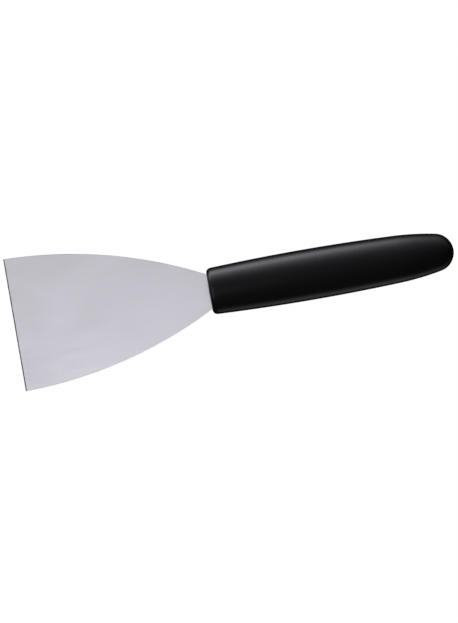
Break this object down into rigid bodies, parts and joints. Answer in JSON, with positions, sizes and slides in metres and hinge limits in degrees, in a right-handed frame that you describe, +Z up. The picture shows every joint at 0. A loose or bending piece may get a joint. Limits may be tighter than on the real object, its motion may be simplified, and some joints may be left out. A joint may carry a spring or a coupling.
{
  "type": "ink knife",
  "caption": "Ink knife with a wide, curved-sided, taper-ground steel blade and a solid oval plastic handle moulded over its tang.",
  "frame": {"origin": "on the surface that the knife lies on, under the middle of its bounding box", "axes": "+X along the knife from the blade's front edge to the butt, +Z up, square to the flat of the blade, +Y across it"},
  "size_m": [0.2116, 0.0636, 0.0182],
  "materials": {
    "blade_steel": "satin, with a fine grinding grain along the blade",
    "handle_plastic": "satin moulded surface"
  },
  "bodies": {
    "root": {"blade": "blade_steel", "handle": "handle_plastic"}
  },
  "joints": []
}
